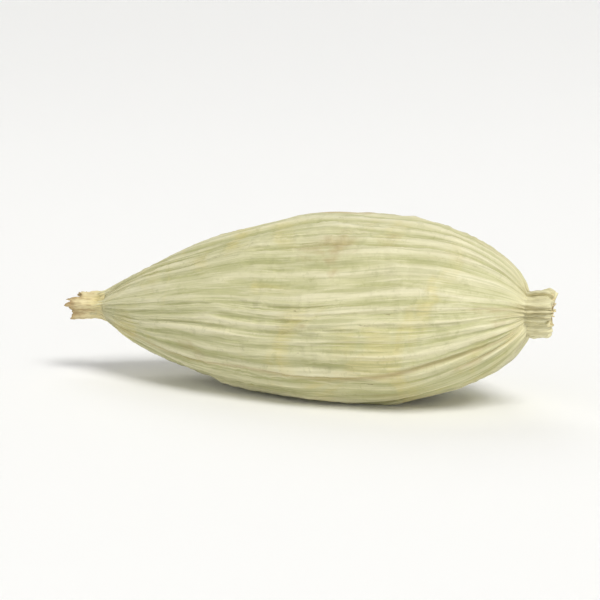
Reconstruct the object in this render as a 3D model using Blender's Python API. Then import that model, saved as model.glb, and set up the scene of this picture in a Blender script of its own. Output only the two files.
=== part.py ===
"""A dried green cardamom pod, closed, lying on one of its three faces.

The pod is one piece: a three-sided husk with fine lengthwise ribs, a short torn stub of
stalk at its blunt end (+X) and the dried remnant of the flower at its pointed end (-X).
Metres, +Z up. The origin is the centre of the pod's footprint, on the surface it rests on.
"""

import math

import bmesh
import bpy
from mathutils import Matrix, Vector

MM = 0.001

# Driving dimensions
POD_LENGTH = 17.0 * MM
POD_THICKNESS = 5.9 * MM
STALK_LENGTH = 0.85 * MM
STALK_RADIUS = 0.66 * MM
BEAK_LENGTH = 1.1 * MM
BEAK_RADIUS = 0.36 * MM

# The husk's outline from the beak to the stalk
FATTEST_PLACE = 0.61      # share of the husk's length, from the beak
BEAK_TAPER = 0.76         # power of the outline towards the beak: the higher, the more pointed
NECK_BLEND = 2.1          # power of the smooth maximum that joins the husk to its two necks
BEAK_FLARE = 0.08 * MM    # the flower remnant widens again towards its mouth
STALK_FLARE = 0.05 * MM   # the torn stalk spreads a little at its end
OVAL_NECK = 0.12          # share by which both necks are flattened
FLUTED_NECK = 0.05        # share by which the coarse fibres of both necks stand out
TORN_EDGE = 0.10 * MM     # how far the two torn ends vary in length from fibre to fibre
TORN_SLANT = 0.34 * MM    # how much longer one side of a torn end is than the other
WORN_RIM = 0.16           # share by which the rim of a torn end is worn down
END_HOLLOW = 0.14 * MM    # how deep the middle of each torn end lies

# Three lobes, one for each seed chamber, with a shallow valley between two of them
LOBES = 3
LOBE_SWELL = 0.070        # share of the radius
VALLEY_DEPTH = 0.055      # share of the radius
VALLEY_WIDTH = math.radians(14)
LOBE_TWIST = math.radians(9)

# Ribs: the veins that stand out of the dried husk
RIBS_PER_LOBE = 11
RIBS = LOBES * RIBS_PER_LOBE
RIB_HEIGHT = 0.12 * MM
RIB_SHARPNESS = 0.8       # under 1 the crests are sharp and the furrows hollow
RIB_SWAY = math.radians(2.4)
RIB_CROWDING = {5: 0.055, 8: 0.026, 13: 0.012}  # times around the pod: radians of bunching
NECK_RIBS = 0.12          # share of the rib height that runs on along the necks
SEED_BUMP = 0.045 * MM    # the seeds inside press the husk out in soft bumps

# How the pod bends and lies
SIDE_BEND = 0.28 * MM
UP_BEND = 0.16 * MM
BEAK_DOWN = math.radians(2.6)  # tips the fattest place back under the pod's weight
RESTING_PRESS = 0.17 * MM  # how deep the small flat spot cuts into the lowest ribs

# Mesh
POINTS_PER_RIB = 4
RINGS = 42
END_RINGS = 2             # rings that close each torn end
RING_CROWDING = 0.35      # 0 spaces the rings evenly, 1 crowds them at the ends as on a globe


def husk_radius(x):
    """Radius of the husk without its necks, at x from the middle of the pod."""
    beak_end = -POD_LENGTH / 2 + BEAK_LENGTH
    stalk_end = POD_LENGTH / 2 - STALK_LENGTH
    share = (x - beak_end) / (stalk_end - beak_end)
    if not 0 < share < 1:
        return 0.0
    stalk_taper = BEAK_TAPER * (1 - FATTEST_PLACE) / FATTEST_PLACE
    towards_beak = (share / FATTEST_PLACE) ** BEAK_TAPER
    towards_stalk = ((1 - share) / (1 - FATTEST_PLACE)) ** stalk_taper
    return POD_THICKNESS / 2 * towards_beak * towards_stalk


def neck_radius(x, angle):
    """Radius of the thin core that shows as the beak and the stalk beyond the husk."""
    along = x / POD_LENGTH + 0.5
    core = BEAK_RADIUS + (STALK_RADIUS - BEAK_RADIUS) * along
    beak_share = max(0.0, 1 - (x + POD_LENGTH / 2) / BEAK_LENGTH)
    stalk_share = max(0.0, 1 - (POD_LENGTH / 2 - x) / STALK_LENGTH)
    flare = BEAK_FLARE * beak_share ** 2 + STALK_FLARE * stalk_share ** 2
    flutes = math.cos(5 * angle + 0.3) + 0.8 * math.cos(8 * angle + 2.0)
    return (core + flare) * (1 + OVAL_NECK * math.cos(2 * angle + 1.0) + FLUTED_NECK * flutes)


def outline_radius(x, angle):
    joined = husk_radius(x) ** NECK_BLEND + neck_radius(x, angle) ** NECK_BLEND
    return joined ** (1 / NECK_BLEND)


def lobe_swell(angle):
    """Share by which the three lobes swell and the valleys between them sink."""
    per_lobe = 2 * math.pi / LOBES
    from_valley = (angle % per_lobe) - per_lobe / 2
    valley = math.exp(-(from_valley / VALLEY_WIDTH) ** 2)
    return LOBE_SWELL * math.cos(LOBES * angle) - VALLEY_DEPTH * valley


def rib_relief(around, x):
    """Height of the ribs: sharp crests with hollow furrows, each rib fading in and out."""
    phase = around * RIBS
    crest = 1 - abs(math.sin(math.pi * phase)) ** RIB_SHARPNESS
    number = round(phase) % RIBS
    along = x / POD_LENGTH
    strength = 0.7 + 0.3 * math.sin(2 * math.pi * (1.2 * along + 0.37 * number ** 1.5))
    return RIB_HEIGHT * strength * (crest - 0.4)


def seed_bumps(angle, x):
    along = 2 * math.pi * x / POD_LENGTH
    rows = math.sin(4.3 * along + 0.6) * math.cos(2 * LOBES * angle + 0.5)
    slow = math.sin(1.7 * along + 2.0 * math.cos(angle + 0.8))
    return SEED_BUMP * (rows + slow)


def rib_crowding(around):
    """Angle by which the ribs bunch together in some places around the pod."""
    turn = 2 * math.pi * around
    return sum(bunch * math.sin(times * (turn + 1)) for times, bunch in RIB_CROWDING.items())


def rib_sway(around, x):
    """Angle by which the ribs wander from a straight run."""
    along = 2 * math.pi * x / POD_LENGTH
    turn = 2 * math.pi * around
    return RIB_SWAY * (math.sin(1.3 * along + 2 * turn) + 0.5 * math.sin(2.9 * along - 3 * turn))


def torn_edge(angle):
    """How much of a torn end is missing, around its rim."""
    fibres = TORN_EDGE * (0.5 * math.sin(5 * angle + 0.7) + 0.5 * math.sin(8 * angle + 2.1) - 1)
    return fibres + TORN_SLANT / 2 * (math.cos(angle + 0.8) - 1)


def surface_point(around, x, end_share):
    """Point of the pod at a share of a full turn and at x along it.

    end_share is 1 on the sides and falls to 0 at the middle of a torn end.
    """
    fullness = min(1.0, (husk_radius(x) / (POD_THICKNESS / 2)) ** 0.6)
    angle = 2 * math.pi * around + rib_crowding(around) + fullness * rib_sway(around, x)
    radius = outline_radius(x, angle) * (1 + fullness * lobe_swell(angle))
    radius += max(fullness, NECK_RIBS) * rib_relief(around, x)
    radius += fullness * seed_bumps(angle, x)

    towards_end = math.exp(-(POD_LENGTH / 2 - abs(x)) / STALK_RADIUS)
    radius *= end_share * (1 - WORN_RIM * towards_end ** 6)
    outwards = math.copysign(1.0, x)
    x += outwards * torn_edge(angle) * towards_end * end_share
    x -= outwards * END_HOLLOW * (1 - end_share ** 2)

    turned = angle + LOBE_TWIST * x / POD_LENGTH
    arch = 1 - (2 * x / POD_LENGTH) ** 2
    side = radius * math.sin(turned) + SIDE_BEND * arch
    up = radius * math.cos(turned) - UP_BEND * arch
    return Vector((x, side, up))


def ring_place(number):
    """x and end_share of a ring, numbered from the pole at the stalk to the one at the beak."""
    from_pole = min(number, RINGS - number)
    along = (number - END_RINGS) / (RINGS - 2 * END_RINGS)
    along = max(0.0, min(1.0, along))
    even = 1 - 2 * along
    globe = math.cos(math.pi * along)
    x = POD_LENGTH / 2 * (even + RING_CROWDING * (globe - even))
    return x, min(1.0, from_pole / END_RINGS)


def settle(mesh):
    """Tips the pod to its balance, presses the small flat spot at z = 0 and centres the pod."""
    tip = Matrix.Rotation(-BEAK_DOWN, 3, "Y")
    bmesh.ops.rotate(mesh, verts=mesh.verts, matrix=tip)
    floor = min(v.co.z for v in mesh.verts) + RESTING_PRESS
    for v in mesh.verts:
        v.co.z = max(v.co.z, floor) - floor
    for axis in (0, 1):
        middle = (max(v.co[axis] for v in mesh.verts) + min(v.co[axis] for v in mesh.verts)) / 2
        for v in mesh.verts:
            v.co[axis] -= middle


def make_pod_mesh():
    """A globe with its poles on X, each vertex moved out to the husk's surface."""
    mesh = bmesh.new()
    around = RIBS * POINTS_PER_RIB
    bmesh.ops.create_uvsphere(mesh, u_segments=around, v_segments=RINGS, radius=1.0)
    for v in mesh.verts:
        number = round(math.acos(max(-1.0, min(1.0, v.co.z))) / math.pi * RINGS)
        turn_share = math.atan2(v.co.y, v.co.x) / (2 * math.pi)
        v.co = surface_point(turn_share, *ring_place(number))
    settle(mesh)
    bmesh.ops.triangulate(mesh, faces=mesh.faces)
    bmesh.ops.recalc_face_normals(mesh, faces=mesh.faces)
    data = bpy.data.meshes.new("pod")
    mesh.to_mesh(data)
    mesh.free()
    data.shade_smooth()
    return data


def husk_material():
    material = bpy.data.materials.new("dried_green_husk")
    material.use_nodes = True
    shader = material.node_tree.nodes["Principled BSDF"]
    shader.inputs["Base Color"].default_value = (0.56, 0.53, 0.27, 1.0)
    shader.inputs["Roughness"].default_value = 0.6
    shader.inputs["Metallic"].default_value = 0.0
    return material


def main():
    for obj in list(bpy.data.objects):
        bpy.data.objects.remove(obj, do_unlink=True)
    pod = bpy.data.objects.new("pod", make_pod_mesh())
    pod.data.materials.append(husk_material())
    bpy.context.scene.collection.objects.link(pod)


main()
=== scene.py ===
# %% [markdown]
# This lesson dresses a dried green cardamom pod. The real one is a papery husk that grew in one
# piece round three rows of seeds. It has a torn bit of stalk at its blunt end and the withered
# rest of the flower at its pointed end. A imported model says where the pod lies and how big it
# is, and the script puts a finer husk in its place. Each step says what a part or a finish is
# on a real pod, how it could be made, and why it is made this way.

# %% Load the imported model
import functools
import math
import random

import bmesh
import bpy
from mathutils import Matrix, Vector, noise


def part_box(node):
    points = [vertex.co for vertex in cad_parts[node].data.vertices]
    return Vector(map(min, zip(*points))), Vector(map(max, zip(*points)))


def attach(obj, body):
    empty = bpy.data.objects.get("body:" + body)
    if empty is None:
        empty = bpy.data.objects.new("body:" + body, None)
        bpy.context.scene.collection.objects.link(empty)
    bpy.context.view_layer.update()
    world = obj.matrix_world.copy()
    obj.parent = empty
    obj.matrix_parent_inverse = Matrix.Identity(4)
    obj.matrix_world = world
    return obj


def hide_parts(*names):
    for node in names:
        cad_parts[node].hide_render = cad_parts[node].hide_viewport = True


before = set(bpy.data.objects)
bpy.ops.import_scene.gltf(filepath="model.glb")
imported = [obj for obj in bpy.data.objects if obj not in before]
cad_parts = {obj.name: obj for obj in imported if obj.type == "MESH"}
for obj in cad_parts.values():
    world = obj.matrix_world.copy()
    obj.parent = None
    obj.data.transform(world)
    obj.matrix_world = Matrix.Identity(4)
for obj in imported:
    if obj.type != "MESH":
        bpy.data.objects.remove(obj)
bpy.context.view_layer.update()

MM = 0.001
pod_low, pod_high = (Vector(corner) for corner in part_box("pod"))
print("The plain solid, mm:", [round(side / MM, 2) for side in pod_high - pod_low])

# %% [markdown]
# The photograph looks at the pod from just above the table, with the blunt stalk end on the
# right. A camera could be placed by eye, but then each change of lens would mean a new place.
# Here the lens, the two angles and the share of the picture that the pod fills are given, and
# the distance follows from them. The blunt end is turned a little towards the camera, so that
# it sits lower in the picture, as in the photograph. The lamps are aimed by the same function.

# %% The camera
VIEW_AZIMUTH = 22            # degrees from the front to the right
VIEW_ELEVATION = 9           # degrees above the table
LENS = 85                    # millimetres of focal length
SENSOR = 36                  # millimetres of sensor width
PICTURE_SHARE = 0.80         # share of the picture's width that the pod fills

pod_centre = (pod_low + pod_high) / 2


def face_the_pod(name, data, azimuth, elevation, distance):
    """Adds a camera or a lamp that faces the pod, from a direction in degrees."""
    side = math.radians(azimuth)
    up = math.radians(elevation)
    away = Vector((math.sin(side) * math.cos(up), -math.cos(side) * math.cos(up), math.sin(up)))
    facing = bpy.data.objects.new(name, data)
    facing.location = pod_centre + away * distance
    facing.rotation_mode = "QUATERNION"
    facing.rotation_quaternion = away.to_track_quat("Z", "Y")
    bpy.context.scene.collection.objects.link(facing)
    return facing


seen_length = (pod_high.x - pod_low.x) * math.cos(math.radians(VIEW_AZIMUTH))
camera_distance = seen_length / PICTURE_SHARE * LENS / SENSOR
camera_data = bpy.data.cameras.new("camera")
camera_data.lens = LENS
camera_data.sensor_width = SENSOR
camera_data.clip_start = 0.002
camera_data.clip_end = 5.0
camera = face_the_pod("camera", camera_data, VIEW_AZIMUTH, VIEW_ELEVATION, camera_distance)
bpy.context.scene.camera = camera
print("The camera stands", round(camera_distance / MM), "mm away")

# %% [markdown]
# The husk's outline is a long egg: it swells quickly behind the stalk, is fattest two fifths
# of the way along and tapers off to the flower's rest. A hand-drawn curve could hold it, but
# two powers of the length give the same egg with one number for how pointed it is. The ribs
# and the relief below fade out with the husk's own fullness towards both ends.

# %% The outline of the husk
POD_LENGTH = 17.0 * MM
POD_THICKNESS = 5.9 * MM
STALK_LENGTH = 0.85 * MM
BEAK_LENGTH = 1.1 * MM
FATTEST_PLACE = 0.61         # share of the husk's length, from the beak
BEAK_TAPER = 0.76            # power of the outline: the higher, the more pointed
FADE_POWER = 0.6             # under 1 the ribs keep their height until close to the ends


@functools.cache
def husk_radius(x):
    """Radius of the husk without its necks, at x from the middle of the pod."""
    beak_end = -POD_LENGTH / 2 + BEAK_LENGTH
    stalk_end = POD_LENGTH / 2 - STALK_LENGTH
    share = (x - beak_end) / (stalk_end - beak_end)
    if not 0 < share < 1:
        return 0.0
    stalk_taper = BEAK_TAPER * (1 - FATTEST_PLACE) / FATTEST_PLACE
    towards_beak = (share / FATTEST_PLACE) ** BEAK_TAPER
    towards_stalk = ((1 - share) / (1 - FATTEST_PLACE)) ** stalk_taper
    return POD_THICKNESS / 2 * towards_beak * towards_stalk


@functools.cache
def fullness(x):
    """1 where the husk is fattest, falling to 0 at its necks."""
    return min(1.0, (husk_radius(x) / (POD_THICKNESS / 2)) ** FADE_POWER)


quarters = [POD_LENGTH * (quarter / 4 - 0.5) for quarter in range(5)]
print("Radius at each quarter of the length, mm:", [round(husk_radius(x) / MM, 2) for x in quarters])

# %% [markdown]
# A thin core runs through the whole pod and shows beyond the husk as the two necks: the beak
# that bore the flower and the stub of the stalk. They could be two cylinders stuck on, with a
# crease where they meet the husk. Joining the two radii by a smooth maximum makes the husk flow
# into its necks. Both necks are slightly oval and fluted, as bundles of fibres are.

# %% The two necks
STALK_RADIUS = 0.66 * MM
BEAK_RADIUS = 0.36 * MM
BEAK_FLARE = 0.08 * MM       # how much the beak widens again towards its end
STALK_FLARE = 0.05 * MM
OVAL_NECK = 0.12             # share of the radius
FLUTED_NECK = 0.05           # share of the radius
NECK_BLEND = 2.1             # power of the smooth maximum: the higher, the tighter the join


def neck_radius(x, angle):
    """Radius of the thin core that shows as the beak and the stalk beyond the husk."""
    along = x / POD_LENGTH + 0.5
    core = BEAK_RADIUS + (STALK_RADIUS - BEAK_RADIUS) * along
    beak_share = max(0.0, 1 - (x + POD_LENGTH / 2) / BEAK_LENGTH)
    stalk_share = max(0.0, 1 - (POD_LENGTH / 2 - x) / STALK_LENGTH)
    flare = BEAK_FLARE * beak_share ** 2 + STALK_FLARE * stalk_share ** 2
    flutes = math.cos(5 * angle + 0.3) + 0.8 * math.cos(8 * angle + 2.0)
    return (core + flare) * (1 + OVAL_NECK * math.cos(2 * angle + 1.0) + FLUTED_NECK * flutes)


def outline_radius(x, angle):
    """Radius of the husk and its necks together."""
    joined = husk_radius(x) ** NECK_BLEND + neck_radius(x, angle) ** NECK_BLEND
    return joined ** (1 / NECK_BLEND)


ends = (-POD_LENGTH / 2, POD_LENGTH / 2)
print("Radius of the beak and of the stub, mm:", [round(outline_radius(x, 0) / MM, 2) for x in ends])

# %% [markdown]
# A pod holds three seed chambers, so its section is a triangle with very round corners, and a
# shallow valley runs between two chambers. The seeds press the dry husk out in soft bumps. All
# of this is a change of the radius with the angle, which a sum of waves gives for any mesh. How
# long the waves are and where they start is given so that none lies on another.

# %% Three lobes and the seeds within
LOBES = 3
LOBE_SWELL = 0.070           # share of the radius
VALLEY_DEPTH = 0.055         # share of the radius
VALLEY_WIDTH = math.radians(14)
SEED_BUMP = 0.045 * MM


def lobe_swell(angle):
    """Share by which the three lobes swell and the valleys between them sink."""
    per_lobe = 2 * math.pi / LOBES
    from_valley = (angle % per_lobe) - per_lobe / 2
    valley = math.exp(-(from_valley / VALLEY_WIDTH) ** 2)
    return LOBE_SWELL * math.cos(LOBES * angle) - VALLEY_DEPTH * valley


def seed_bumps(angle, x):
    """How far the seeds inside press the skin out."""
    along = 2 * math.pi * x / POD_LENGTH
    rows = math.sin(4.3 * along + 0.6) * math.cos(2 * LOBES * angle + 0.5)
    slow = math.sin(1.7 * along + 2.0 * math.cos(angle + 0.8))
    return SEED_BUMP * (rows + slow)


swells = [lobe_swell(math.radians(degree)) for degree in range(360)]
print("The lobes change the radius by, shares:", round(min(swells), 3), "to", round(max(swells), 3))

# %% [markdown]
# The ribs are the husk's veins. When it dries, the soft tissue between two veins shrinks and
# sinks, so the crests are narrow and the furrows wide and hollow. Bump mapping could draw them,
# but the outline and the shadows would stay smooth, so they are real geometry. The crest is
# kept slightly round, as a vein is, by never letting the sine reach zero, and each rib fades in
# and out along the pod.

# %% The ribs
RIBS_PER_LOBE = 11
RIBS = LOBES * RIBS_PER_LOBE
RIB_HEIGHT = 0.12 * MM
RIB_LEVEL = 0.4              # share of a rib's height at which the plain outline lies
RIB_SHARPNESS = 0.8          # under 1 the crests are sharp and the furrows hollow
RIB_ROUNDING = 0.14          # the higher, the blunter the crest
RIB_FADE = 0.3               # where a rib is faintest, twice this share of its height is lost
NECK_RIBS = 0.12             # share of the height that runs on along the necks


@functools.cache
def rib_crest(around):
    """1 on the crest of a rib and 0 in the furrow between two."""
    from_crest = math.hypot(math.sin(math.pi * around * RIBS), RIB_ROUNDING)
    return max(0.0, 1 - from_crest ** RIB_SHARPNESS)


def rib_strength(around, x):
    """How strongly a rib stands out at x. The rib's number decides where it is strong."""
    number = round(around * RIBS) % RIBS
    wave = 1.2 * x / POD_LENGTH + 0.37 * number ** 1.5
    return 1 - RIB_FADE + RIB_FADE * math.sin(2 * math.pi * wave)


print("Ribs:", RIBS, "with crests of", round(rib_crest(0.0), 2), "and furrows of", rib_crest(0.5 / RIBS))

# %% [markdown]
# Evenly spaced ribs would look turned on a lathe. Real veins bunch together in some places and
# wander from a straight run. Both are a small change of the angle at which a rib lies, so the
# ribs stay whole and never cross.

# %% The way of the ribs
RIB_SWAY = math.radians(2.4)
RIB_CROWDING = {5: 0.055, 8: 0.026, 13: 0.012}  # times around the pod: radians of bunching


@functools.cache
def rib_crowding(around):
    """Angle by which the ribs bunch together in some places around the pod."""
    turn = 2 * math.pi * around
    return sum(bunch * math.sin(times * (turn + 1)) for times, bunch in RIB_CROWDING.items())


def rib_sway(around, x):
    """Angle by which the ribs wander from a straight run."""
    along = 2 * math.pi * x / POD_LENGTH
    turn = 2 * math.pi * around
    return RIB_SWAY * (math.sin(1.3 * along + 2 * turn) + 0.5 * math.sin(2.9 * along - 3 * turn))


def husk_angle(around, x):
    """Angle of the rib that starts at a share of a full turn."""
    return 2 * math.pi * around + rib_crowding(around) + fullness(x) * rib_sway(around, x)


starts = [husk_angle(number / RIBS, 0.0) for number in range(RIBS + 1)]
gaps = [math.degrees(after - before) for before, after in zip(starts, starts[1:])]
print("The ribs lie", round(min(gaps), 1), "to", round(max(gaps), 1), "degrees apart")

# %% [markdown]
# Both ends are torn: the stalk was pulled off when the pod was picked, and the flower fell long
# before. A torn end is slanted and its fibres end unevenly. The same few lines serve both ends,
# because tearing is only a shift of the last rings along the pod.

# %% The torn ends
TORN_EDGE = 0.10 * MM        # half of the most that a fibre lacks
TORN_SLANT = 0.34 * MM       # how much longer one side of an end is than the other


def smoothstep(low, high, value):
    """0 at low, 1 at high and a smooth step between."""
    share = min(1.0, max(0.0, (value - low) / (high - low)))
    return share * share * (3 - 2 * share)


def torn_edge(angle):
    """How much of a torn end is missing, around its rim."""
    fibres = TORN_EDGE * (0.5 * math.sin(5 * angle + 0.7) + 0.5 * math.sin(8 * angle + 2.1) - 1)
    return fibres + TORN_SLANT / 2 * (math.cos(angle + 0.8) - 1)


missing = [torn_edge(math.radians(degree)) / MM for degree in range(360)]
print("Torn away around an end, mm:", round(-max(missing), 2), "to", round(-min(missing), 2))

# %% [markdown]
# All of these come together in the place of one point, which is given by its share of a turn
# around the pod and its distance along it. A subdivided and sculpted mesh could look like this
# too, but a function can be asked again later, when the fibres and the flower's rest need to
# know where the husk is. The rim of a torn end is worn and its middle lies a little deeper. The
# tip of the beak shrank and drew back into the flower's rest. The middle line itself bends and
# twists a little, as no pod grows straight.

# %% The place of a point
WORN_RIM = 0.16              # share by which the rim of a torn end is worn down
WORN_POWER = 6               # the higher, the closer to the rim the wear stays
END_HOLLOW = 0.14 * MM
BEAK_PINCH = 0.40            # share by which the tip of the beak shrank
BEAK_SHRUNK = 0.50 * MM      # how far it drew back
PINCH_STARTS = 1.0 * MM      # distance from the end
LOBE_TWIST = math.radians(9)
SIDE_BEND = 0.28 * MM
UP_BEND = 0.16 * MM


def on_the_pod(x, angle, radius):
    """A point at a radius from the pod's bent and twisted middle line."""
    turned = angle + LOBE_TWIST * x / POD_LENGTH
    arch = 1 - (2 * x / POD_LENGTH) ** 2
    side = radius * math.sin(turned) + SIDE_BEND * arch
    up = radius * math.cos(turned) - UP_BEND * arch
    return Vector((x, side, up))


def husk_point(around, x, end_share):
    """Point of the husk. end_share falls from 1 on the sides to 0 in the middle of an end."""
    full = fullness(x)
    angle = husk_angle(around, x)
    radius = outline_radius(x, angle) * (1 + full * lobe_swell(angle))
    relief = RIB_HEIGHT * rib_strength(around, x) * (rib_crest(around) - RIB_LEVEL)
    radius += max(full, NECK_RIBS) * relief + full * seed_bumps(angle, x)

    towards_end = math.exp(-(POD_LENGTH / 2 - abs(x)) / STALK_RADIUS)
    radius *= end_share * (1 - WORN_RIM * towards_end ** WORN_POWER)
    shrunk = smoothstep(PINCH_STARTS, 0.0, x + POD_LENGTH / 2)
    radius *= 1 - BEAK_PINCH * shrunk
    outwards = math.copysign(1.0, x)
    x += outwards * torn_edge(angle) * towards_end * end_share + BEAK_SHRUNK * shrunk
    x -= outwards * END_HOLLOW * (1 - end_share ** 2)
    return on_the_pod(x, angle, radius)


print("The middle of the torn stalk, mm:", [round(way / MM, 2) for way in husk_point(0, ends[1], 0)])

# %% [markdown]
# Between the ribs the dry skin has a finer relief of its own. A Displace modifier could press a
# texture in, but only one, and this relief depends on the ribs, the seams and the ends. Here
# each point has a place on the grain: the cosine and sine of its way around the pod and its way
# along it. Noise read there closes on itself without a seam, and long cells along the pod make
# veins out of blobs. Each noise is given by its cells, how many in a radian around and how long
# one is along the pod, and by a shift that picks another part of it, so that no two are alike.

# %% Noise along the grain
def grain_noise(around, x, cells, shift):
    """Noise from -1 to 1 in cells that follow the skin's grain."""
    cells_round, run = cells
    turn = 2 * math.pi * around
    return noise.noise(Vector((
        cells_round * math.cos(turn) + shift,
        cells_round * math.sin(turn) - shift,
        x / run + 2 * shift,
    )))


def thin_line(value, sharpness):
    """1 where a noise changes sign, and 0 a little beside it."""
    return max(0.0, 1 - sharpness * abs(value))


TRIAL_CELLS = (8.0, MM)
open_by = abs(grain_noise(0.0, MM, TRIAL_CELLS, 0.0) - grain_noise(1.0, MM, TRIAL_CELLS, 0.0))
print("After a full turn the noise is off by", round(open_by, 6))

# %% [markdown]
# Fine veins run lengthwise and branch. Branching lines are hard to draw one by one, but the
# places where a noise changes sign form such a net by themselves. Across the grain the skin
# shrank into small crinkles, strong in some patches and absent in others. They lie at a slant
# that changes, because straight ones look like woven cloth.

# %% Veins and crinkles
VEIN_CELLS = (8.0, 3.4 * MM)
FINE_VEIN_CELLS = (16.8, 2.04 * MM)
VEIN_SHARPNESS = 3.2
VEIN_POWER = 1.5             # over 1 a vein's foot is hollow
CRINKLE_CELLS = (3.2, 0.20 * MM)
TIGHT_CRINKLE_CELLS = (7.36, 0.12 * MM)
CRINKLE_PATCH_CELLS = (1.3, 2.6 * MM)
SLANT_CELLS = (2.2, 3.0 * MM)
CRINKLE_SLANT = 0.5 * MM
FAINTEST_CRINKLE = 0.15
PATCH_CONTRAST = 1.8


def vein(around, x):
    """1 along a vein, half as much along a finer one, and 0 beside them."""
    wide = thin_line(grain_noise(around, x, VEIN_CELLS, 3.7), VEIN_SHARPNESS)
    fine = thin_line(grain_noise(around, x, FINE_VEIN_CELLS, 9.1), VEIN_SHARPNESS)
    return wide ** VEIN_POWER + 0.5 * fine ** VEIN_POWER


def crinkle(around, x):
    """Small folds across the grain, strong in some patches and absent in others."""
    patch = 0.5 + PATCH_CONTRAST * grain_noise(around, x, CRINKLE_PATCH_CELLS, 5.3)
    strength = min(1.0, max(FAINTEST_CRINKLE, patch))
    slant = CRINKLE_SLANT * grain_noise(around, x, SLANT_CELLS, 4.6)
    folds = grain_noise(around, x + slant, CRINKLE_CELLS, 1.9)
    tight = grain_noise(around, x - slant, TIGHT_CRINKLE_CELLS, 7.7)
    return strength * (folds + 0.6 * tight)


PROBES = 200
on_veins = sum(vein(number / PROBES, 0.0) > 0.5 for number in range(PROBES)) / PROBES
print("Share of the skin that lies on a vein:", on_veins)

# %% [markdown]
# Along the middle of each lobe runs a seam, where a ripe pod would split: a narrow groove
# between two faint lips. It is measured along the skin and not as an angle, so that it is as
# wide at the thin ends as in the middle.

# %% The three seams
SEAM_WIDTH = 0.065 * MM
SEAM_DEPTH = 0.055 * MM
SEAM_LIP = 0.030 * MM
LIP_PLACE = 2.2              # distance of a lip from the groove, in seam widths
SEAM_SWAY = 0.035            # radians by which a seam wanders


def from_seam(around, x):
    """Distance along the skin to the nearest of the three seams, in seam widths."""
    per_lobe = 2 * math.pi / LOBES
    sway = SEAM_SWAY * math.sin(5 * math.pi * x / POD_LENGTH + 2 * math.cos(2 * math.pi * around))
    angle = husk_angle(around, x) + sway
    off_seam = (angle + per_lobe / 2) % per_lobe - per_lobe / 2
    return abs(off_seam * outline_radius(x, angle)) / SEAM_WIDTH


def seam_relief(seam):
    """The groove of a seam and the lip on each side of it."""
    return SEAM_LIP * math.exp(-(seam - LIP_PLACE) ** 2) - SEAM_DEPTH * math.exp(-seam ** 2)


nearest = min(from_seam(number / PROBES, 0.0) for number in range(PROBES))
print("The nearest probe lies", round(nearest, 2), "seam widths from a seam")

# %% [markdown]
# Broad soft dents complete the skin. The crinkles are deepest in the furrows, where the skin
# shrank most, and the veins stand out everywhere. A part of the veins' height is taken off
# again, so that the skin as a whole keeps its place.

# %% The fine relief of the skin
VEIN_HEIGHT = 0.062 * MM
VEIN_LEVEL = 0.3             # share of a vein's height at which the plain skin lies
CRINKLE_HEIGHT = 0.040 * MM
CRINKLED_CREST = 0.4         # share of the crinkles that the crests have too
DENT_DEPTH = 0.075 * MM
DENT_CELLS = (1.1, 2.4 * MM)


def skin_relief(around, x, veins, seam):
    """Height that the fine relief adds to the skin."""
    furrow = 1 - rib_crest(around)
    crinkles = CRINKLE_HEIGHT * (CRINKLED_CREST + (1 - CRINKLED_CREST) * furrow) * crinkle(around, x)
    dents = DENT_DEPTH * grain_noise(around, x, DENT_CELLS, 2.9)
    return VEIN_HEIGHT * (veins - VEIN_LEVEL) + crinkles + dents + seam_relief(seam)


in_seam = skin_relief(0.0, 0.0, vein(0.0, 0.0), from_seam(0.0, 0.0))
print("In the first seam the relief is, mm:", round(in_seam / MM, 3))

# %% [markdown]
# The two necks are stalk and not husk, and dry in another way: they shrivel into deep uneven
# folds with stringy fibres along them and faint rings across. They get their own sum of noises,
# much coarser for their size.

# %% The relief of the necks
NECK_FOLD = 0.16 * MM
NECK_STRAND = 0.05 * MM
NECK_RING = 0.03 * MM
NECK_FOLD_CELLS = (1.5, 1.1 * MM)
STRAND_CELLS = (4.5, 2.0 * MM)
THREAD_CELLS = (10.0, 1.5 * MM)
NECK_RING_CELLS = (1.1, 0.17 * MM)
STRAND_SHARPNESS = 3.5
NECK_STARTS = 0.45           # a neck begins to show where its radius is this share of the pod's
NECK_ALONE = 0.97            # nothing of the husk is left where it is this share


def neck_relief(around, x):
    """Height that folds, strands and rings add to a neck."""
    folds = grain_noise(around, x, NECK_FOLD_CELLS, 6.6)
    strand = thin_line(grain_noise(around, x, STRAND_CELLS, 8.2), STRAND_SHARPNESS)
    thread = thin_line(grain_noise(around, x, THREAD_CELLS, 5.9), STRAND_SHARPNESS)
    rings = grain_noise(around, x, NECK_RING_CELLS, 3.1)
    return NECK_FOLD * folds + NECK_STRAND * (strand + 0.6 * thread - 0.6) + NECK_RING * rings


def neck_share(around, x):
    """1 on a neck, where the husk has ended, and 0 on the husk."""
    angle = husk_angle(around, x)
    return smoothstep(NECK_STARTS, NECK_ALONE, neck_radius(x, angle) / outline_radius(x, angle))


necks = [neck_relief(number / PROBES, ends[1]) / MM for number in range(PROBES)]
print("The stub's folds are deep, mm:", round(max(necks) - min(necks), 2))

# %% [markdown]
# The rim of a torn end frays: bundles of fibres stick out past each other, and single fibres
# past their bundle. How far one sticks out depends only on its place around the end, so the
# noise is read at one place along the pod for each end.

# %% The frayed rims
FRAY = 0.16 * MM
BUNDLE_CELLS = (5.5, 5.0 * MM)
SINGLE_FIBRE_CELLS = (14.0, 5.0 * MM)


def fray(around, x):
    """How far the fibres of a torn rim stick out past each other."""
    end = math.copysign(MM, x)
    bundles = grain_noise(around, end, BUNDLE_CELLS, 0.7)
    single = grain_noise(around, end, SINGLE_FIBRE_CELLS, 6.2)
    return FRAY * (bundles + 0.8 * single)


frays = [fray(number / PROBES, ends[1]) / MM for number in range(PROBES)]
print("The stub's rim varies by, mm:", round(max(frays) - min(frays), 2))

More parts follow.
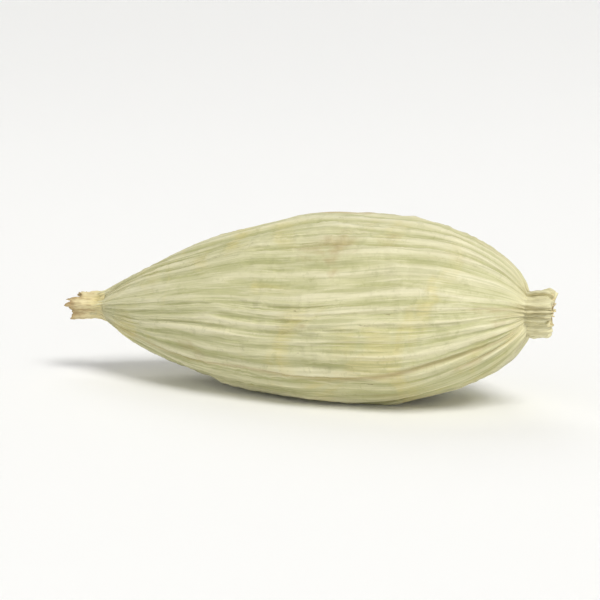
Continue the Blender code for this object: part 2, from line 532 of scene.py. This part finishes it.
# %% [markdown]
# The husk starts as a flat grid that is rolled up: its columns run along the pod, a whole number
# of them for each rib, so that every crest has points on it, and its rows go round. A globe has
# the same points, but Blender takes ten times as long to make one this fine. The first and the
# last column meet and are merged, and so are the first and the last row, each in one point at
# the middle of a torn end, which closes the husk. The rows crowd a little towards the ends,
# where the outline turns fastest.

# %% Shape the husk
POINTS_PER_RIB = 12
SEGMENTS = RIBS * POINTS_PER_RIB
RINGS = 236
END_RINGS = 9                # rings that close each torn end
RING_CROWDING = 0.35         # 0 spaces the rings evenly, 1 crowds them at the ends as on a globe
WELD = 0.0001 * MM


def ring_place(number):
    """x and end_share of a ring, numbered from the torn stalk to the torn beak."""
    from_end = min(number, RINGS - number)
    along = (number - END_RINGS) / (RINGS - 2 * END_RINGS)
    along = max(0.0, min(1.0, along))
    even = 1 - 2 * along
    globe = math.cos(math.pi * along)
    x = POD_LENGTH / 2 * (even + RING_CROWDING * (globe - even))
    return x, min(1.0, from_end / END_RINGS)


husk = bmesh.new()
place_layer = husk.verts.layers.float_vector.new("place")
bmesh.ops.create_grid(husk, x_segments=SEGMENTS, y_segments=RINGS, size=0.5)

meeting = []
for point in husk.verts:
    column = round((point.co.x + 0.5) * SEGMENTS)
    ring = round((0.5 - point.co.y) * RINGS)
    place = (column / SEGMENTS, *ring_place(ring))
    point[place_layer] = place
    point.co = husk_point(*place)
    if column in (0, SEGMENTS) or ring in (0, RINGS):
        meeting.append(point)
bmesh.ops.remove_doubles(husk, verts=meeting, dist=WELD)
bmesh.ops.recalc_face_normals(husk, faces=husk.faces)
open_edges = sum(edge.is_boundary for edge in husk.edges)
print("The husk has", len(husk.verts), "points and", open_edges, "open edges")

# %% [markdown]
# A loose pod rolls until its weight lies low, and rests on a small flat spot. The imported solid
# already lies that way. The same tilt brings the fine husk to the same place, with its stalk end,
# its two sides and its top where the solid has them. The tip of the beak is no guide, because
# it is drawn back here into the flower's rest.

# %% Lay the husk where the solid lies
BEAK_DOWN = math.radians(2.6)

tilt = Matrix.Rotation(-BEAK_DOWN, 4, "Y")
bmesh.ops.transform(husk, matrix=tilt, verts=husk.verts)
husk_low = Vector(min(point.co[axis] for point in husk.verts) for axis in range(3))
husk_high = Vector(max(point.co[axis] for point in husk.verts) for axis in range(3))
shift = pod_high - husk_high
shift.y = (pod_high.y + pod_low.y - husk_high.y - husk_low.y) / 2
bmesh.ops.translate(husk, verts=husk.verts, vec=shift)
settled = Matrix.Translation(shift) @ tilt
print("Moved by, mm:", [round(way / MM, 3) for way in shift])

# %% [markdown]
# The fine relief is pushed out along the surface's own normals, and not away from the middle
# line, because the blunt end faces along the pod and would otherwise stay smooth. The fibres of
# a torn rim are drawn out along the pod. What would reach under the table is pressed flat, which
# leaves the small flat spot.

# %% Press the fine relief in
TORN_ROUGHNESS = 0.05 * MM
TORN_CELLS = (6.0, 0.18)     # here the second is a share of the way to the rim
FRAY_DEPTH = 0.3 * MM        # how far from a torn rim its fibres start to part

heights = []
husk.normal_update()
for point in husk.verts:
    around, x, end_share = point[place_layer]
    skin = skin_relief(around, x, vein(around, x), from_seam(around, x)) * fullness(x)
    neck = neck_relief(around, x) * neck_share(around, x)
    torn_face = TORN_ROUGHNESS * grain_noise(around, end_share, TORN_CELLS, 4.4)
    heights.append((skin + neck) * end_share + torn_face * (1 - end_share))
    point.co += point.normal * heights[-1]
    towards_end = math.exp(-(POD_LENGTH / 2 - abs(x)) / FRAY_DEPTH) * end_share
    point.co.x += math.copysign(fray(around, x) * towards_end, x)
    point.co.z = max(point.co.z, 0.0)
print("The relief moves the skin by, mm:", round(min(heights) / MM, 3), "to", round(max(heights) / MM, 3))

# %% [markdown]
# The finish will need to know more than a point's place: a rib's crest is paler than its furrow,
# a seam is browner, and a neck is straw. A picture painted over the husk could say so, but each
# point already knows, so it notes five things that the shader reads later: its place on the
# grain, how high it lies on a rib, how close to a seam, and whether it is on a neck or on a torn
# end.

# %% Note what the finish needs
TIP_STARTS = 0.35            # the straw of a neck starts a little before its relief
VEIN_CREST = 0.25            # share of a crest that a fine vein counts for

grain_layer = husk.verts.layers.float_vector.new("grain")
crest_layer = husk.verts.layers.float.new("crest")
seam_layer = husk.verts.layers.float.new("seam")
tip_layer = husk.verts.layers.float.new("tip")
torn_layer = husk.verts.layers.float.new("torn")
for point in husk.verts:
    around, x, end_share = point[place_layer]
    turn = 2 * math.pi * around
    crest_height = rib_crest(around) * rib_strength(around, x) + VEIN_CREST * vein(around, x)
    neck_there = neck_radius(x, turn) / outline_radius(x, turn)
    point[grain_layer] = Vector((math.cos(turn), math.sin(turn), x / POD_LENGTH))
    point[crest_layer] = min(1.0, crest_height)
    point[seam_layer] = math.exp(-from_seam(around, x) ** 2) * fullness(x)
    point[tip_layer] = smoothstep(TIP_STARTS, NECK_ALONE, neck_there)
    point[torn_layer] = 1 - end_share
husk.verts.layers.float_vector.remove(place_layer)
print("Notes on each point:", [*husk.verts.layers.float_vector.keys(), *husk.verts.layers.float.keys()])

# %% [markdown]
# Every piece ends the same way: its faces are turned outwards, it becomes a smooth object at
# the origin with its place in its mesh, and it rides with the pod. The card that the pod lies
# on will need the first of these two functions only.

# %% Finish a piece
def smooth_object(name, mesh, finish):
    """Turns a bmesh into a smooth object at the origin."""
    data = bpy.data.meshes.new(name)
    mesh.to_mesh(data)
    mesh.free()
    data.shade_smooth()
    data.materials.append(finish)
    made = bpy.data.objects.new(name, data)
    bpy.context.scene.collection.objects.link(made)
    print(name, "has", len(data.polygons), "faces")
    return made


def finish_piece(name, mesh, finish):
    """Makes a piece of the pod out of a bmesh."""
    bmesh.ops.recalc_face_normals(mesh, faces=mesh.faces)
    piece = smooth_object(name, mesh, finish)
    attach(piece, "root")
    return piece


# %% [markdown]
# A finish is a network of nodes, and most of it is arithmetic: a mask times a strength, one
# minus a mask. Drawn by hand each sign is a node. This class wraps an output socket, so that
# plain Python expressions add those nodes.

# %% Arithmetic with shader sockets
class Wire:
    """An output socket. Sums and products of wires and numbers add Math nodes."""

    def __init__(self, paint, socket):
        self.paint = paint
        self.socket = socket

    def math(self, operation, *values):
        """Adds a Math node for an operation on these values."""
        return self.paint.node("ShaderNodeMath", {"operation": operation}, dict(enumerate(values)))

    def __add__(self, other):
        return self.math("ADD", self, other)

    def __mul__(self, other):
        return self.math("MULTIPLY", self, other)

    def __sub__(self, other):
        return self.math("SUBTRACT", self, other)

    def __rsub__(self, other):
        return self.math("SUBTRACT", other, self)

    __radd__ = __add__
    __rmul__ = __mul__


# %% [markdown]
# A second class is the pot of paint that the wires run in. One method adds any kind of node,
# with its settings first and then what its sockets hold, and the others are short names for
# the few nodes that this pod's finishes use again and again.

# %% A pot of paint
class Paint:
    """One material: a Principled shader and the nodes that feed it."""

    def __init__(self, name):
        self.material = bpy.data.materials.new(name)
        self.material.use_nodes = True
        self.tree = self.material.node_tree
        self.shader = self.tree.nodes["Principled BSDF"]

    def node(self, kind, settings, sockets, output=0):
        """Adds a node: settings first, then each socket's value or the wire that feeds it."""
        made = self.tree.nodes.new(kind)
        for name, value in settings.items():
            setattr(made, name, value)
        for name, value in sockets.items():
            self.feed(made.inputs[name], value)
        return Wire(self, made.outputs[output])

    def feed(self, socket, value):
        """Links a wire to a socket, or sets the socket to a plain value."""
        if isinstance(value, Wire):
            self.tree.links.new(value.socket, socket)
        else:
            socket.default_value = value

    def set(self, **values):
        """Feeds the shader's own sockets, named with _ for a space."""
        for name, value in values.items():
            self.feed(self.shader.inputs[name.replace("_", " ")], value)

    def attribute(self, name, output="Fac"):
        """What each point noted under a name."""
        return self.node("ShaderNodeAttribute", {"attribute_name": name}, {}, output)

    def place(self):
        """The place on the object, in metres."""
        return self.node("ShaderNodeTexCoord", {}, {}, "Object")

    def noise(self, vector, scale=1.0, detail=3.0, roughness=0.55, distortion=0.0):
        """Cloudy noise from 0 to 1, with the same number of cells each way."""
        sockets = {"Vector": vector, "Scale": scale, "Detail": detail}
        sockets |= {"Roughness": roughness, "Distortion": distortion}
        return self.node("ShaderNodeTexNoise", {}, sockets)

    def grained(self, vector, cells, **shape):
        """Cloudy noise with another number of cells for each of the vector's three parts."""
        sockets = {0: vector, 1: cells}
        stretched = self.node("ShaderNodeVectorMath", {"operation": "MULTIPLY"}, sockets)
        return self.noise(stretched, **shape)

    def between(self, value, low, high):
        """0 below low, 1 above high and a smooth step between."""
        settings = {"interpolation_type": "SMOOTHSTEP"}
        sockets = {"Value": value, "From Min": low, "From Max": high}
        return self.node("ShaderNodeMapRange", settings, sockets)

    def mix(self, share, under, over):
        """A share of one colour over another."""
        return self.node("ShaderNodeMix", {"data_type": "RGBA"}, {0: share, 6: under, 7: over}, 2)

    def lay(self, under, over, share, value, low, high):
        """Lays a colour over another where a value is high: nothing under low, the share over high."""
        return self.mix(share * self.between(value, low, high), under, over)

    def bump(self, height, distance, strength=1.0):
        """Tilts the light on the surface as a relief of this height would."""
        sockets = {"Strength": strength, "Distance": distance, "Height": height}
        return self.node("ShaderNodeBump", {}, sockets)


# %% [markdown]
# Dried slowly in the dark, the husk keeps a pale yellowish green. The crests of the ribs bleach
# to straw and the furrows stay greener. Their green is also painted darker, as painted shade in
# the furrows. One flat colour would look like plastic, and a photograph wrapped round the pod
# would carry its light with it. So the finish is a stack of thin colours, each laid over the last
# through a mask. They are given as a screen shows them, from 0 to 255, and turned into the even
# scale of light that the shader wants.

# %% The colours of the husk
def colour(red, green, blue):
    """A colour given as it shows on a screen, 0 to 255, as the shader wants it."""
    shown = (value / 255 for value in (red, green, blue))
    return (*(v / 12.92 if v <= 0.04045 else ((v + 0.055) / 1.055) ** 2.4 for v in shown), 1.0)


STRAW_CREST = colour(218, 213, 177)
HUSK_GREEN = colour(201, 198, 155)
# The furrows' own greener colour, darkened further as painted shade in the furrows
FURROW_GREEN_AND_SHADE = colour(175, 175, 124)
# A deeper green of the skin, also used as painted shade between the hairlines and in the creases
DEEP_GREEN_AND_SHADE = colour(156, 157, 102)
YELLOW_PATCH = colour(208, 194, 124)
PALE_FIBRE = colour(230, 224, 190)
TAN_STAIN = colour(166, 136, 86)
DARK_SPECK = colour(106, 84, 50)
STRAW_TIP = colour(230, 224, 184)
TIP_SHADOW = colour(188, 177, 131)
TORN_BROWN = colour(150, 122, 80)
print("The husk's green for the shader:", [round(part, 3) for part in HUSK_GREEN])

# %% [markdown]
# The masks come from the points' notes and from noise. Noise on the grain has three numbers of
# cells, two around the pod and one along it: large ones make the cells small. The streaks are
# broad, the fibres short and fine, the hairlines long and thin, and the creases run across. The
# patches and the mottling don't follow the grain and are read in plain space.

# %% The notes and the noises
STREAK_GRAIN = (6.5, 6.5, 2.4)
FIBRE_GRAIN = (34.0, 34.0, 15.0)
HAIRLINE_GRAIN = (30.0, 30.0, 5.0)
CREASE_GRAIN = (13.0, 13.0, 80.0)
PATCH_SCALE = 380.0          # cells in a metre
MOTTLING_SCALE = 2600.0

husk_paint = Paint("dried_green_husk")
grain = husk_paint.attribute("grain", "Vector")
crest = husk_paint.attribute("crest")
seam = husk_paint.attribute("seam")
tip = husk_paint.attribute("tip")
torn = husk_paint.attribute("torn")
place = husk_paint.place()

streaks = husk_paint.grained(grain, STREAK_GRAIN, detail=4.0, distortion=0.3)
fibres = husk_paint.grained(grain, FIBRE_GRAIN)
hairlines = husk_paint.grained(grain, HAIRLINE_GRAIN, roughness=0.6)
creases = husk_paint.grained(grain, CREASE_GRAIN, detail=4.0, distortion=1.2)
patches = husk_paint.noise(place, PATCH_SCALE, distortion=1.2)
mottling = husk_paint.noise(place, MOTTLING_SCALE, detail=4.0, roughness=0.6)
print("Nodes so far:", len(husk_paint.tree.nodes))

# %% [markdown]
# First the green of the furrows turns into the body's green and then into straw, the higher a
# point lies on a rib. The furrows' green is darker than the body's, so it is partly painted shade
# in the furrows. The streaks push that border up and down, so that no rib is painted like its
# neighbour. Then come the yellower patches, where more sun reached the pod, the pale fibres and
# hairlines, and the deeper green between them and in the creases, which only some of the streaks
# have. That deeper green is a darker green of the skin and painted shade in those low places
# together. One loop lays these thin colours, because they differ in their numbers only.

# %% Green furrows with painted shade, and straw crests
GREEN_BORDER = (0.15, 0.62)  # height on a rib where the body's green starts and where it is full
GREEN_STREAKED = 0.50        # how far the streaks push that border
STRAW_BORDER = (0.50, 1.05)
STRAW_STREAKED = 0.45
CREASED_STREAKS = (0.42, 0.58)

# From the furrows' green, darkened as painted shade, up to the body's green
rising = husk_paint.between(crest + GREEN_STREAKED * streaks, *GREEN_BORDER)
body = husk_paint.mix(rising, FURROW_GREEN_AND_SHADE, HUSK_GREEN)
bleached = husk_paint.between(crest + STRAW_STREAKED * streaks, *STRAW_BORDER)
body = husk_paint.mix(bleached, body, STRAW_CREST)

creased = husk_paint.between(streaks, *CREASED_STREAKS)
thin_colours = [
    # colour, its share at most, the noise, where it starts to show and where it is full
    (YELLOW_PATCH, 0.48, patches, 0.52, 0.70),
    (PALE_FIBRE, 0.40, fibres, 0.52, 0.70),
    (PALE_FIBRE, 0.42, hairlines, 0.53, 0.63),
    # Painted shade and darker skin: the deeper green between the hairlines and in the creases
    (DEEP_GREEN_AND_SHADE, 0.36, 1 - hairlines, 0.53, 0.63),
    (DEEP_GREEN_AND_SHADE, 0.22 * creased, creases, 0.56, 0.68),
    (DEEP_GREEN_AND_SHADE, 0.22, mottling, 0.56, 0.68),
]
for thin_colour in thin_colours:
    body = husk_paint.lay(body, *thin_colour)
print("Thin colours:", len(thin_colours), "and nodes so far:", len(husk_paint.tree.nodes))

# %% [markdown]
# No pod is clean. A few soft tan stains lie where it was damp for a while, the seams are a
# little browner than the skin, and dark specks are strewn in some places only: one noise makes
# the specks and a coarser one says where they are let through.

# %% Stains, seams and specks
STAIN_GRAIN = (1.9, 1.9, 3.4)
SPECK_GRAIN = (12.0, 12.0, 24.0)
SPECK_ZONE_SCALE = 420.0     # cells in a metre
SEAM_BROWN = 0.45            # share of the stains' colour along a seam

stains = husk_paint.grained(grain, STAIN_GRAIN, detail=5.0, roughness=0.6, distortion=0.6)
body = husk_paint.lay(body, TAN_STAIN, share=0.48, value=stains, low=0.60, high=0.72)
body = husk_paint.mix(SEAM_BROWN * seam, body, TAN_STAIN)

specks = husk_paint.grained(grain, SPECK_GRAIN, detail=4.0, roughness=0.65)
speck_zone = husk_paint.noise(place, SPECK_ZONE_SCALE, detail=2.0)
speck_zone = husk_paint.between(speck_zone, low=0.50, high=0.64)
body = husk_paint.lay(body, DARK_SPECK, share=0.65 * speck_zone, value=specks, low=0.66, high=0.73)
print("Nodes so far:", len(husk_paint.tree.nodes))

# %% [markdown]
# Both necks are pale straw, shaded in broad folds and in narrow streaks, and browner where they
# were torn. They are part of the same skin, so their colour is laid over the husk's by the note
# that says where a neck is, and the border is as soft as that note.

# %% The colour of the necks
NECK_FOLD_GRAIN = (5.0, 5.0, 12.0)
NECK_STREAK_GRAIN = (11.0, 11.0, 7.0)
NECK_COVER = 0.9             # share of the husk's colour that a neck's own hides
BROWN_FIBRES = 0.8           # how far the fibres push the brown of a torn end

neck_folds = husk_paint.grained(grain, NECK_FOLD_GRAIN, detail=4.0)
neck_streaks = husk_paint.grained(grain, NECK_STREAK_GRAIN)
shaded = husk_paint.between(neck_folds, low=0.50, high=0.66)
neck_body = husk_paint.mix(shaded, STRAW_TIP, TIP_SHADOW)
neck_body = husk_paint.lay(neck_body, TIP_SHADOW, share=0.45, value=neck_streaks, low=0.50, high=0.62)
body = husk_paint.mix(NECK_COVER * tip, body, neck_body)
browned = torn + BROWN_FIBRES * fibres
body = husk_paint.lay(body, TORN_BROWN, share=0.85 * tip, value=browned, low=0.50, high=1.05)
print("Nodes so far:", len(husk_paint.tree.nodes))

# %% [markdown]
# Relief that is finer than the mesh is left to bump mapping: the same fibres, hairlines, creases
# and mottling that colour the skin also tilt the light on it, which ties the two together. The
# crests are rubbed a little smoother than the furrows. The husk is then a piece of its own and
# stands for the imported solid, which stays behind for what needs a plain shape.

# %% The gloss and the finest relief
SKIN_BUMP = 0.06 * MM
FURROW_ROUGHNESS = 0.60
CREST_POLISH = 0.16
UNEVEN_GLOSS = 0.16

micro = 0.30 * fibres + 0.50 * hairlines + 0.30 * creases + 0.25 * mottling
husk_paint.set(
    Base_Color=body,
    Roughness=FURROW_ROUGHNESS - CREST_POLISH * crest + UNEVEN_GLOSS * (mottling - 0.5),
    Normal=husk_paint.bump(micro, SKIN_BUMP),
)
pod_husk = finish_piece("pod_husk", husk, husk_paint.material)
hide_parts("pod")

# %% [markdown]
# The flower dried at the tip of the pod into a papery tube that hugs the beak and opens in a
# ragged mouth. A Solidify modifier could thicken a single skin, but in sharp folds its inner
# wall crosses itself. So the place of each point of the wall, inside and outside, is worked
# out: folds and pleats grow towards the mouth, the mouth is squeezed oval, and its edge is torn
# off unevenly.

# %% The place of a point of the flower
REST_ROOT = 1.45 * MM         # how far from the end of the pod the tube starts
REST_MOUTH = 0.30 * MM        # how far from that end its mouth lies on average
REST_WALL = 0.03 * MM
REST_OPEN = 0.03 * MM         # how far its mouth stands off the beak
REST_SUNK = 0.05 * MM         # how deep its root lies under the skin
REST_LOOSE = 0.05 * MM        # how unevenly it comes free of the skin
REST_FOLD = 0.09 * MM
REST_SQUEEZE = 0.16           # share of the radius
REST_TORN = 0.46 * MM
FOLDS_START = 0.3             # share of the tube's length, from the root
FOLDS_GROWN = 0.9             # share of the tube's length, from the root
TEAR_POWER = 4                # the higher, the closer to the mouth the tear stays


def ring_noise(angle, cells, shift):
    """Noise that closes on itself around a ring."""
    return noise.noise(Vector((cells * math.cos(angle), cells * math.sin(angle), shift)))


def flower_edge(angle):
    """How much of the mouth is torn away: wide gaps, tatters and single threads."""
    gaps_and_tatters = ring_noise(angle, 1.2, 4.2) + 0.5 * ring_noise(angle, 3.5, 8.8)
    return REST_TORN * (gaps_and_tatters + 0.3 * ring_noise(angle, 9.0, 2.8))


def flower_folds(angle, along):
    """Soft folds and sharp pleats that grow towards the mouth."""
    folds = ring_noise(angle, 2.4, 1.5 + along) + 0.5 * ring_noise(angle, 6.0, 3.5 + 2 * along)
    pleats = 0.6 * thin_line(ring_noise(angle, 3.2, 6.1 + 0.7 * along), STRAND_SHARPNESS)
    return REST_FOLD * smoothstep(FOLDS_START, FOLDS_GROWN, along) * (folds + pleats - 0.3)


def flower_point(angle, along, outside):
    """along runs from 0 at the root to 1 at the mouth, outside from 0 to 1 through the wall."""
    from_end = REST_ROOT + along * (REST_MOUTH - REST_ROOT) + along ** TEAR_POWER * flower_edge(angle)
    x = from_end - POD_LENGTH / 2
    turn = angle / (2 * math.pi)
    around = turn - rib_crowding(turn) / (2 * math.pi)
    stands_off = (REST_SUNK + REST_OPEN) * math.sin(math.pi / 2 * along) - REST_SUNK
    radius = outline_radius(x, angle) + neck_relief(around, x) * neck_share(around, x)
    radius += stands_off + REST_WALL * outside
    radius += REST_LOOSE * min(1.0, 3 * along) * ring_noise(angle, 2.5, 7.3)
    radius += flower_folds(angle, along)
    radius *= 1 + REST_SQUEEZE * along ** 2 * math.cos(2 * angle + 2.2)
    return on_the_pod(x, angle, radius)


torn_off = [flower_edge(math.radians(degree)) / MM for degree in range(360)]
print("The mouth's edge varies by, mm:", round(max(torn_off) - min(torn_off), 2))

# %% [markdown]
# The tube's wall has an inside and an outside that meet at both edges, so the shape starts as
# the closed outline of the cut wall. Spun once round the pod's axis it is a plain tube in which
# each point's height along the axis, and its distance from it, say where it belongs.

# %% Spin the withered flower
REST_STEPS = 20
REST_ROUND = 132

flower = bmesh.new()
along_layer = flower.verts.layers.float.new("along")
wall = [(step / REST_STEPS, 0.0) for step in range(REST_STEPS + 1)]
wall += [(along, 1.0) for along, _ in reversed(wall)]
cut = [flower.verts.new((along, 0.0, 1.0 + outside)) for along, outside in wall]
cut_edges = [flower.edges.new(pair) for pair in zip(cut, cut[1:] + cut[:1])]
bmesh.ops.spin(
    flower, geom=cut + cut_edges, axis=(1, 0, 0), cent=(0, 0, 0),
    angle=2 * math.pi, steps=REST_ROUND, use_merge=True,
)
for point in flower.verts:
    along = point.co.x
    angle = math.atan2(point.co.y, point.co.z)
    outside = math.hypot(point.co.y, point.co.z) - 1.0
    point[along_layer] = along
    point.co = flower_point(angle, along, outside)
bmesh.ops.transform(flower, matrix=settled, verts=flower.verts)
print("The flower's rest has", len(flower.verts), "points")

# %% [markdown]
# Dry petals are the colour of straw, like the neck that they sit on, and brown where the edge
# is thin and torn. The colour goes from the neck's to the petals' with the distance from the
# root, and dark veins run lengthwise, drawn by a noise that is squeezed across the tube.

# %% The finish of the withered flower
DRY_PETAL = colour(224, 211, 166)
PETAL_EDGE = colour(168, 138, 92)
PETAL_ROOT = colour(214, 202, 150)
BLOT_SCALE = 2600.0           # cells in a metre
PETAL_GRAIN = (1500.0, 9000.0, 9000.0)  # the same, along and across the tube
PETAL_BUMP = 0.02 * MM

flower_paint = Paint("withered_petal")
petal_along = flower_paint.attribute("along")
petal_place = flower_paint.place()
petal_veins = flower_paint.grained(petal_place, PETAL_GRAIN)
petal_blots = flower_paint.noise(petal_place, BLOT_SCALE)
petal_fade = flower_paint.between(petal_along + 0.4 * petal_blots, low=0.35, high=0.85)
petal = flower_paint.mix(petal_fade, PETAL_ROOT, DRY_PETAL)
browned = petal_along + 0.7 * petal_blots
petal = flower_paint.lay(petal, PETAL_EDGE, share=0.8, value=browned, low=1.0, high=1.4)
petal = flower_paint.lay(petal, PETAL_EDGE, share=0.5, value=petal_veins, low=0.52, high=0.66)
flower_paint.set(
    Base_Color=petal,
    Roughness=0.75,
    Normal=flower_paint.bump(petal_veins, PETAL_BUMP, strength=0.8),
)
finish_piece("flower_remnant", flower, flower_paint.material)

# %% [markdown]
# A stalk that is pulled off tears between its fibres, and their ends stand out of the torn face
# like a worn brush. Hair particles would be quick but don't leave Blender as a mesh, so each
# fibre is a thin cone whose end face is drawn out in a few steps, and each step turns a little
# and gets thinner.

# %% Grow one fibre
FIBRE_SIDES = 6
FIBRE_STEPS = 4
FIBRE_THINNING = 0.84


def grow_fibre(mesh, layer, root, heading, length, thickness, curl):
    """A tapering fibre from root along heading, turned by the rotation curl at each step."""
    step = length / (FIBRE_STEPS + 1)
    upright = heading.to_track_quat("Z", "Y").to_matrix().to_4x4()
    stand = Matrix.Translation(root + heading * step / 2) @ upright
    cone = bmesh.ops.create_cone(
        mesh, cap_ends=True, segments=FIBRE_SIDES, radius1=thickness / 2,
        radius2=thickness / 2 * FIBRE_THINNING, depth=step, matrix=stand,
    )["verts"]
    faces = {face for point in cone for face in point.link_faces}
    tip_face = max(faces, key=lambda face: face.calc_center_median().dot(heading))
    for number in range(FIBRE_STEPS):
        tip_face = bmesh.ops.extrude_discrete_faces(mesh, faces=[tip_face])["faces"][0]
        heading = curl @ heading
        middle = tip_face.calc_center_median()
        for point in tip_face.verts:
            spread = curl @ (point.co - middle)
            point.co = middle + FIBRE_THINNING * spread + heading * step
            point[layer] = (number + 1) / FIBRE_STEPS


# %% [markdown]
# The fibres are spread over the torn face as seeds are in a sunflower: each a golden share of a
# turn further round than the last, and at a distance from the middle that grows as the square
# root of its number, which fills the face evenly. Small random draws from a fixed seed break the
# pattern. The fibres on the rim are longer and curl outwards.

# %% The torn fibres of the stalk
FIBRES = 64
FIBRE_ROOT = 0.18 * MM        # how deep a fibre starts under the torn face
FIBRE_THICKNESS = (0.06 * MM, 0.12 * MM)
FIBRE_LENGTH = (0.20 * MM, 0.34 * MM)
RIM_FIBRE_LENGTH = (0.22 * MM, 0.36 * MM)
RIM_STARTS = 0.8              # share of the torn face's radius
OUTERMOST_FIBRE = 0.93        # share of the torn face's radius
FIBRE_LEAN = 0.35             # outwards, at most, as a slope
FIBRE_CURL = 0.11             # radians in a step
RIM_CURL = 0.7                # how much of a rim fibre's curl goes outwards
GOLDEN_SHARE = 0.381966       # of a turn
UNEVEN_SPREAD = 0.02          # of a turn

draws = random.Random(12)
brush = bmesh.new()
brush_layer = brush.verts.layers.float.new("along")
for number in range(FIBRES):
    share = math.sqrt((number + 0.5) / FIBRES)
    around = (number * GOLDEN_SHARE + UNEVEN_SPREAD * draws.random()) % 1.0
    angle = husk_angle(around, POD_LENGTH / 2)
    on_rim = share > RIM_STARTS
    lean = FIBRE_LEAN * share * draws.random()
    outwards = Vector((0.0, math.sin(angle), math.cos(angle)))
    heading = (Vector((1.0, 0.0, 0.0)) + lean * outwards).normalized()
    root = husk_point(around, POD_LENGTH / 2, OUTERMOST_FIBRE * share) - FIBRE_ROOT * heading
    length = draws.uniform(*(RIM_FIBRE_LENGTH if on_rim else FIBRE_LENGTH))
    bend = Vector((draws.uniform(-1, 1), draws.uniform(-1, 1), draws.uniform(-1, 1)))
    if on_rim:
        bend += RIM_CURL * heading.cross(outwards)
    curl = Matrix.Rotation(FIBRE_CURL * bend.length, 3, bend)
    grow_fibre(brush, brush_layer, root, heading, length, draws.uniform(*FIBRE_THICKNESS), curl)
bmesh.ops.transform(brush, matrix=settled, verts=brush.verts)
print("The brush has", FIBRES, "fibres and", len(brush.verts), "points")

# %% [markdown]
# The fibres are the inside of the stalk: brown in blots, most of all at their roots deep in the
# tear, and paler straw towards their tips. They are far too thin for a pattern to be seen, so
# one noise gives both the blots and a faint relief.

# %% The finish of the fibres
FIBRE_PALE = colour(222, 207, 160)
FIBRE_BROWN = colour(166, 136, 90)
FIBRE_SCALE = 4200.0          # cells in a metre
FIBRE_BUMP = 0.01 * MM

fibre_paint = Paint("torn_fibre")
fibre_along = fibre_paint.attribute("along")
fibre_noise = fibre_paint.noise(fibre_paint.place(), FIBRE_SCALE, detail=2.0)
fibre_blots = fibre_paint.between(fibre_noise - 0.3 * fibre_along, low=0.25, high=0.60)
fibre_paint.set(
    Base_Color=fibre_paint.mix(fibre_blots, FIBRE_PALE, FIBRE_BROWN),
    Roughness=0.8,
    Normal=fibre_paint.bump(fibre_noise, FIBRE_BUMP, strength=0.5),
)
finish_piece("stalk_fibres", brush, fibre_paint.material)

# %% [markdown]
# The pod is photographed on pale card that curves up behind it, so that no edge shows. A plane
# and a wall would leave a line, and the part is looked at from all sides, so the card is a wide
# bowl. Its outline is a short flat floor and one long arc, spun once round. The card is only the
# stage, and isn't part of the pod.

# %% The card
CARD_FLOOR = 0.10            # metres from the middle to where the arc starts
CARD_BEND = 2.6              # metres, the radius of the arc
CARD_RISE = math.radians(62)
BEND_STEPS = 24
SPIN_STEPS = 96
UNDER_THE_POD = 0.02 * MM
CARD_WELD = 0.01 * MM

card_outline = [(0.0, 0.0), (CARD_FLOOR, 0.0)]
for step in range(1, BEND_STEPS + 1):
    bend = CARD_RISE * step / BEND_STEPS
    card_outline.append((CARD_FLOOR + CARD_BEND * math.sin(bend), CARD_BEND * (1 - math.cos(bend))))

card_mesh = bmesh.new()
outline_points = [card_mesh.verts.new((out, 0.0, up - UNDER_THE_POD)) for out, up in card_outline]
outline_edges = [card_mesh.edges.new(pair) for pair in zip(outline_points, outline_points[1:])]
bmesh.ops.spin(
    card_mesh, geom=outline_points + outline_edges, axis=(0, 0, 1), cent=(0, 0, 0),
    angle=2 * math.pi, steps=SPIN_STEPS, use_merge=True,
)
bmesh.ops.remove_doubles(card_mesh, verts=card_mesh.verts, dist=CARD_WELD)
bmesh.ops.recalc_face_normals(card_mesh, faces=card_mesh.faces)
bmesh.ops.reverse_faces(card_mesh, faces=card_mesh.faces)

card_paint = Paint("pale_card")
card_paint.set(Base_Color=colour(246, 246, 245), Roughness=0.9)
card = smooth_object("pale_card", card_mesh, card_paint.material)
print("The card is", round(2 * card_outline[-1][0], 1), "m wide")

# %% [markdown]
# The light is that of a small product table: one large soft box high in front on the right,
# where the photograph is brightest, a weak one from the left to fill, and one from behind to
# draw the upper edge. Light from high up crosses the ribs at a low angle and shows every furrow.
# Each box is given by its direction, by how wide it is and by how bright white paper gets that
# faces it, and the power follows from the distance.

# %% The lights
LIGHT_DISTANCE = 1.7         # metres
WARM = (1.0, 0.99, 0.97)
WHITE = (1.0, 1.0, 1.0)


def soft_box(name, azimuth, elevation, width, brightness, tint=WHITE):
    """A square lamp that faces the pod. White paper that faces it shows at this brightness."""
    data = bpy.data.lights.new(name, "AREA")
    data.size = width
    data.energy = brightness * math.pi ** 2 * LIGHT_DISTANCE ** 2
    data.color = tint
    lamp = face_the_pod(name, data, azimuth, elevation, LIGHT_DISTANCE)
    lamp.visible_camera = False
    print(name, "gives", round(data.energy, 1), "W")


soft_box("key_light", azimuth=55, elevation=52, width=0.75, brightness=0.78, tint=WARM)
soft_box("fill_light", azimuth=-40, elevation=38, width=1.3, brightness=0.08)
soft_box("back_light", azimuth=-150, elevation=45, width=1.0, brightness=0.18)

# %% [markdown]
# A pale room around the table lifts the shadows a little from all sides. The colours are shown
# as they are, without a film curve over them, so that the straw and the green come out as they
# were given.

# %% The room
ROOM_LIGHT = 0.25

world = bpy.data.worlds.new("pale_room")
world.use_nodes = True
background = world.node_tree.nodes["Background"]
background.inputs["Color"].default_value = (*WHITE, 1.0)
background.inputs["Strength"].default_value = ROOM_LIGHT
bpy.context.scene.world = world
bpy.context.scene.view_settings.view_transform = "Standard"
print("The room is as bright as", ROOM_LIGHT, "of white")
